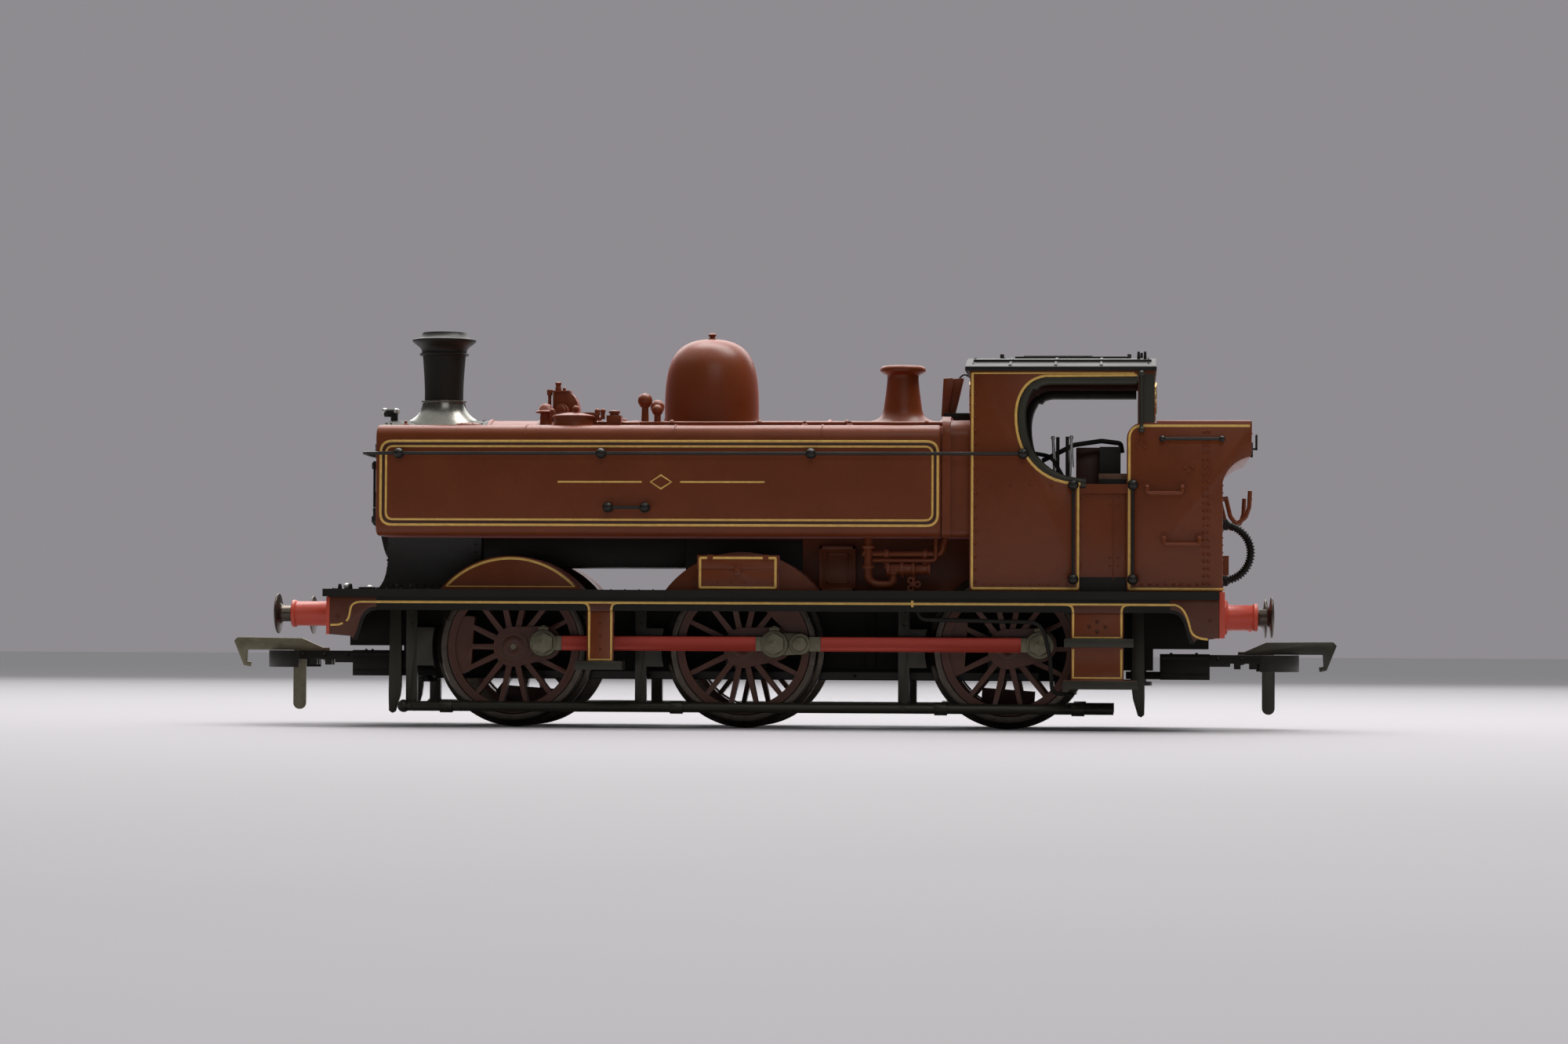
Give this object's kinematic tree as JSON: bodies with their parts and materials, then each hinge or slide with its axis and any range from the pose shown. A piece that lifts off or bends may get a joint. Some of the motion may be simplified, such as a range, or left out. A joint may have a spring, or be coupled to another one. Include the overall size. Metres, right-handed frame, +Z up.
{
  "type": "model steam locomotive",
  "caption": "Model pannier tank steam locomotive with coupled wheels, side rods, worm drive, sprung buffers, swinging hook couplings and an open cab.",
  "frame": {"origin": "under the middle of the length over the coupling hooks, on the plane that the wheel flanges touch", "axes": "+X towards the bunker end, -X is the front, -Y is the left side, +Z up"},
  "size_m": [0.1408, 0.0342, 0.0502],
  "materials": {
    "maroon_plastic": "satin",
    "black_plastic": "satin",
    "red_plastic": "satin",
    "diecast": "satin",
    "brass": "bright",
    "steel": "machined",
    "blackened_wire": "blackened",
    "blackened_metal": "blackened",
    "board_green": "solder mask",
    "wheel_plastic": "satin",
    "tyre_steel": "chemically blackened",
    "gear_plastic": "moulded",
    "rod_red": "satin",
    "clear_plastic": "clear",
    "coal_black": "matt"
  },
  "bodies": {
    "root": {"chassis_block": "diecast", "keeper_plate": "black_plastic", "axle_bearings": "brass", "chassis_screws": "steel", "motor": "steel", "pickup_strips": "brass", "circuit_board": "board_green", "buffer_springs": "steel", "footplate": "black_plastic", "buffer_beams": "red_plastic", "buffer_housings": "red_plastic", "smokebox": "black_plastic", "smokebox_door": "black_plastic", "boiler": "maroon_plastic", "firebox": "maroon_plastic", "left_tank": "maroon_plastic", "right_tank": "maroon_plastic", "chimney": "black_plastic", "dome": "maroon_plastic", "safety_valve": "maroon_plastic", "top_feed": "maroon_plastic", "tank_fillers": "maroon_plastic", "handrails": "blackened_wire", "cab_body": "maroon_plastic", "cab_roof": "black_plastic", "backhead": "black_plastic", "bunker": "maroon_plastic", "coal": "coal_black", "glazing": "clear_plastic", "splashers": "maroon_plastic", "toolboxes": "maroon_plastic", "footsteps": "maroon_plastic", "brake_gear": "black_plastic", "injectors": "maroon_plastic", "vacuum_hose": "black_plastic", "lamp_irons": "black_plastic"},
    "front_wheelset": {"front_axle": "steel", "front_wheels": "wheel_plastic", "front_tyres": "tyre_steel"},
    "centre_wheelset": {"centre_axle": "steel", "centre_wheels": "wheel_plastic", "centre_tyres": "tyre_steel", "drive_gear": "brass"},
    "rear_wheelset": {"rear_axle": "steel", "rear_wheels": "wheel_plastic", "rear_tyres": "tyre_steel"},
    "worm": {"worm_shaft": "brass"},
    "idler": {"idler_gear": "gear_plastic"},
    "left_front_rod": {"left_front_rod": "rod_red"},
    "left_rear_rod": {"left_rear_rod": "rod_red"},
    "right_front_rod": {"right_front_rod": "rod_red"},
    "right_rear_rod": {"right_rear_rod": "rod_red"},
    "front_left_buffer": {"front_left_buffer": "blackened_metal"},
    "front_right_buffer": {"front_right_buffer": "blackened_metal"},
    "rear_left_buffer": {"rear_left_buffer": "blackened_metal"},
    "rear_right_buffer": {"rear_right_buffer": "blackened_metal"},
    "front_coupling": {"front_coupling": "black_plastic"},
    "front_hook": {"front_hook": "blackened_metal"},
    "rear_coupling": {"rear_coupling": "black_plastic"},
    "rear_hook": {"rear_hook": "blackened_metal"}
  },
  "joints": [
    {"name": "centre_wheel_spin", "type": "hinge", "parent": "root", "child": "centre_wheelset", "pos_m": [-0.00373, 0, 0.01], "axis": [0, -1, 0], "continuous": true},
    {"name": "front_wheel_spin", "type": "hinge", "parent": "root", "child": "front_wheelset", "pos_m": [-0.03273, 0, 0.01], "axis": [0, -1, 0], "continuous": true},
    {"name": "rear_wheel_spin", "type": "hinge", "parent": "root", "child": "rear_wheelset", "pos_m": [0.02927, 0, 0.01], "axis": [0, -1, 0], "continuous": true},
    {"name": "left_front_rod_pivot", "type": "hinge", "parent": "centre_wheelset", "child": "left_front_rod", "pos_m": [0.00024, 0, 0.01049], "axis": [0, -1, 0], "continuous": true},
    {"name": "left_rear_rod_pivot", "type": "hinge", "parent": "rear_wheelset", "child": "left_rear_rod", "pos_m": [0.03324, 0, 0.01049], "axis": [0, -1, 0], "continuous": true},
    {"name": "right_front_rod_pivot", "type": "hinge", "parent": "centre_wheelset", "child": "right_front_rod", "pos_m": [-0.00422, 0, 0.01397], "axis": [0, -1, 0], "continuous": true},
    {"name": "right_rear_rod_pivot", "type": "hinge", "parent": "rear_wheelset", "child": "right_rear_rod", "pos_m": [0.02878, 0, 0.01397], "axis": [0, -1, 0], "continuous": true},
    {"name": "idler_spin", "type": "hinge", "parent": "root", "child": "idler", "pos_m": [-0.00373, 0, 0.0178], "axis": [0, -1, 0], "continuous": true},
    {"name": "worm_spin", "type": "hinge", "parent": "root", "child": "worm", "pos_m": [-0.00373, 0, 0.024], "axis": [1, 0, 0], "continuous": true},
    {"name": "front_left_buffer_slide", "type": "slide", "parent": "root", "child": "front_left_buffer", "axis": [1, 0, 0], "range_m": [0, 0.001], "stiffness_N_per_m": 200, "deforming": ["buffer_springs"]},
    {"name": "front_right_buffer_slide", "type": "slide", "parent": "root", "child": "front_right_buffer", "axis": [1, 0, 0], "range_m": [0, 0.001], "stiffness_N_per_m": 200, "deforming": ["buffer_springs"]},
    {"name": "front_coupling_swing", "type": "hinge", "parent": "root", "child": "front_coupling", "pos_m": [-0.0455, 0, 0.007], "axis": [0, 0, 1], "range_deg": [-8, 8]},
    {"name": "front_hook_lift", "type": "hinge", "parent": "front_coupling", "child": "front_hook", "pos_m": [-0.0584, 0, 0.00886], "axis": [0, 1, 0], "range_deg": [0, 25]},
    {"name": "rear_left_buffer_slide", "type": "slide", "parent": "root", "child": "rear_left_buffer", "axis": [-1, 0, 0], "range_m": [0, 0.001], "stiffness_N_per_m": 200, "deforming": ["buffer_springs"]},
    {"name": "rear_right_buffer_slide", "type": "slide", "parent": "root", "child": "rear_right_buffer", "axis": [-1, 0, 0], "range_m": [0, 0.001], "stiffness_N_per_m": 200, "deforming": ["buffer_springs"]},
    {"name": "rear_coupling_swing", "type": "hinge", "parent": "root", "child": "rear_coupling", "pos_m": [0.0455, 0, 0.007], "axis": [0, 0, 1], "range_deg": [-8, 8]},
    {"name": "rear_hook_lift", "type": "hinge", "parent": "rear_coupling", "child": "rear_hook", "pos_m": [0.0584, 0, 0.00886], "axis": [0, -1, 0], "range_deg": [0, 25]}
  ],
  "couplings": [
    {"joint": "front_wheel_spin", "follows": "centre_wheel_spin", "ratio": 1},
    {"joint": "rear_wheel_spin", "follows": "centre_wheel_spin", "ratio": 1},
    {"joint": "left_front_rod_pivot", "follows": "centre_wheel_spin", "ratio": -1},
    {"joint": "left_rear_rod_pivot", "follows": "centre_wheel_spin", "ratio": -1},
    {"joint": "right_front_rod_pivot", "follows": "centre_wheel_spin", "ratio": -1},
    {"joint": "right_rear_rod_pivot", "follows": "centre_wheel_spin", "ratio": -1},
    {"joint": "idler_spin", "follows": "centre_wheel_spin", "ratio": -0.83333},
    {"joint": "worm_spin", "follows": "centre_wheel_spin", "ratio": -20}
  ]
}
